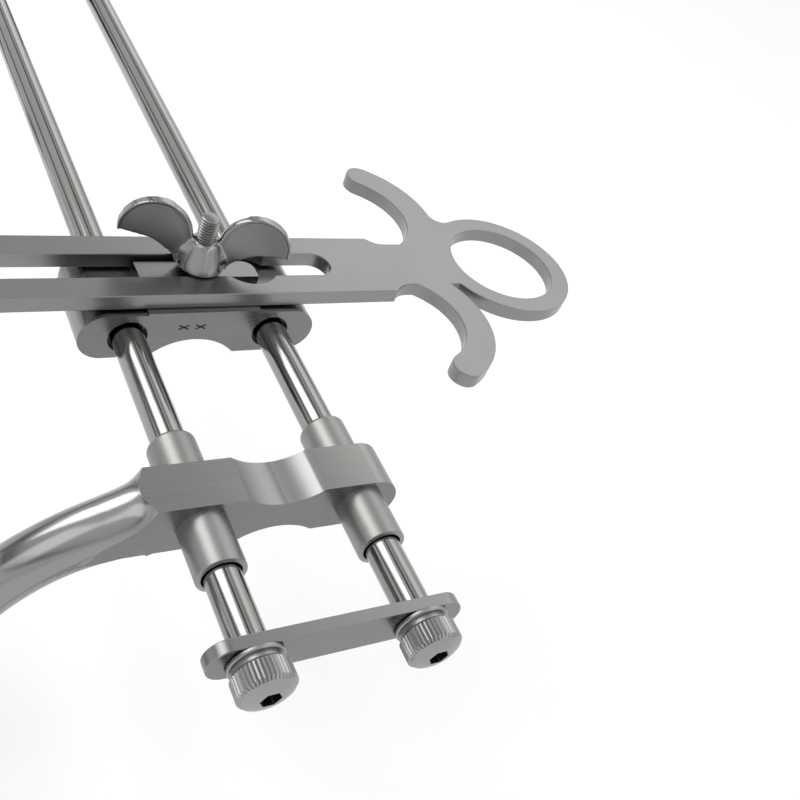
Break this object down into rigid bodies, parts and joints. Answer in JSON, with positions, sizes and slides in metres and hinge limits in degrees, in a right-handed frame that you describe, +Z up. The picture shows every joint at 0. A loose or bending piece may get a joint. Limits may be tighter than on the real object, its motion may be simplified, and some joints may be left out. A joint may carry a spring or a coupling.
{
  "type": "self retaining retractor",
  "caption": "Abdominal self retaining retractor: two guide rods, a fixed and a sliding arm with wire side blades, and a clamped slotted bar with a centre blade.",
  "frame": {"origin": "midway between the two guide rod axes, under the middle line of the slotted bar", "axes": "+X along the slotted bar to its finger ring, +Y along the guide rods away from the end plate, +Z up from the rods to the wing nut"},
  "size_m": [0.2517, 0.318, 0.1329],
  "materials": {
    "ground_rod": "ground and polished along its length",
    "brushed_steel": "satin, brushed along the length",
    "polished_arm": "polished round arm with satin flat faces",
    "blasted_sleeve": "bead blasted, matt",
    "turned_steel": "turned, satin polished",
    "polished_blade": "mirror polished"
  },
  "bodies": {
    "frame": {"left_rod": "ground_rod", "right_rod": "ground_rod", "end_plate": "brushed_steel", "fixed_arm": "polished_arm", "rod_pins": "ground_rod"},
    "thumb_screw_left": {"thumb_screw_left": "turned_steel"},
    "thumb_screw_right": {"thumb_screw_right": "turned_steel"},
    "sliding_arm": {"sliding_arm": "polished_arm", "left_sleeve": "blasted_sleeve", "right_sleeve": "blasted_sleeve"},
    "carriage": {"carriage_block": "brushed_steel", "guide_key": "brushed_steel", "clamp_stud": "turned_steel"},
    "centre_bar": {"slotted_bar": "brushed_steel", "centre_blade": "polished_blade", "blade_rivets": "brushed_steel"},
    "wing_nut": {"wing_nut": "turned_steel"},
    "near_blade": {"near_blade_loop": "polished_blade", "near_blade_shank": "turned_steel", "near_cap_nut": "turned_steel"},
    "far_blade": {"far_blade_loop": "polished_blade", "far_blade_shank": "turned_steel", "far_cap_nut": "turned_steel"}
  },
  "joints": [
    {"name": "arm_slide", "type": "slide", "parent": "frame", "child": "sliding_arm", "axis": [0, 1, 0], "range_m": [-0.016, 0.017]},
    {"name": "carriage_slide", "type": "slide", "parent": "frame", "child": "carriage", "axis": [0, 1, 0], "range_m": [-0.017, 0.09]},
    {"name": "bar_slide", "type": "slide", "parent": "carriage", "child": "centre_bar", "axis": [1, 0, 0], "range_m": [-0.0195, 0.054]},
    {"name": "wing_nut_turn", "type": "hinge", "parent": "carriage", "child": "wing_nut", "pos_m": [0.0013, 0, 0.0116], "axis": [0, 0, 1], "continuous": true},
    {"name": "left_screw_turn", "type": "hinge", "parent": "frame", "child": "thumb_screw_left", "pos_m": [-0.0186, -0.1039, 0], "axis": [0, 1, 0], "continuous": true},
    {"name": "right_screw_turn", "type": "hinge", "parent": "frame", "child": "thumb_screw_right", "pos_m": [0.0186, -0.1039, 0], "axis": [0, 1, 0], "continuous": true},
    {"name": "near_blade_swivel", "type": "hinge", "parent": "sliding_arm", "child": "near_blade", "pos_m": [-0.09416, -0.0656, -0.02958], "axis": [0, 0, 1], "range_deg": [-25, 25]},
    {"name": "far_blade_swivel", "type": "hinge", "parent": "frame", "child": "far_blade", "pos_m": [-0.09416, 0.19, -0.02958], "axis": [0, 0, 1], "range_deg": [-25, 25]}
  ]
}
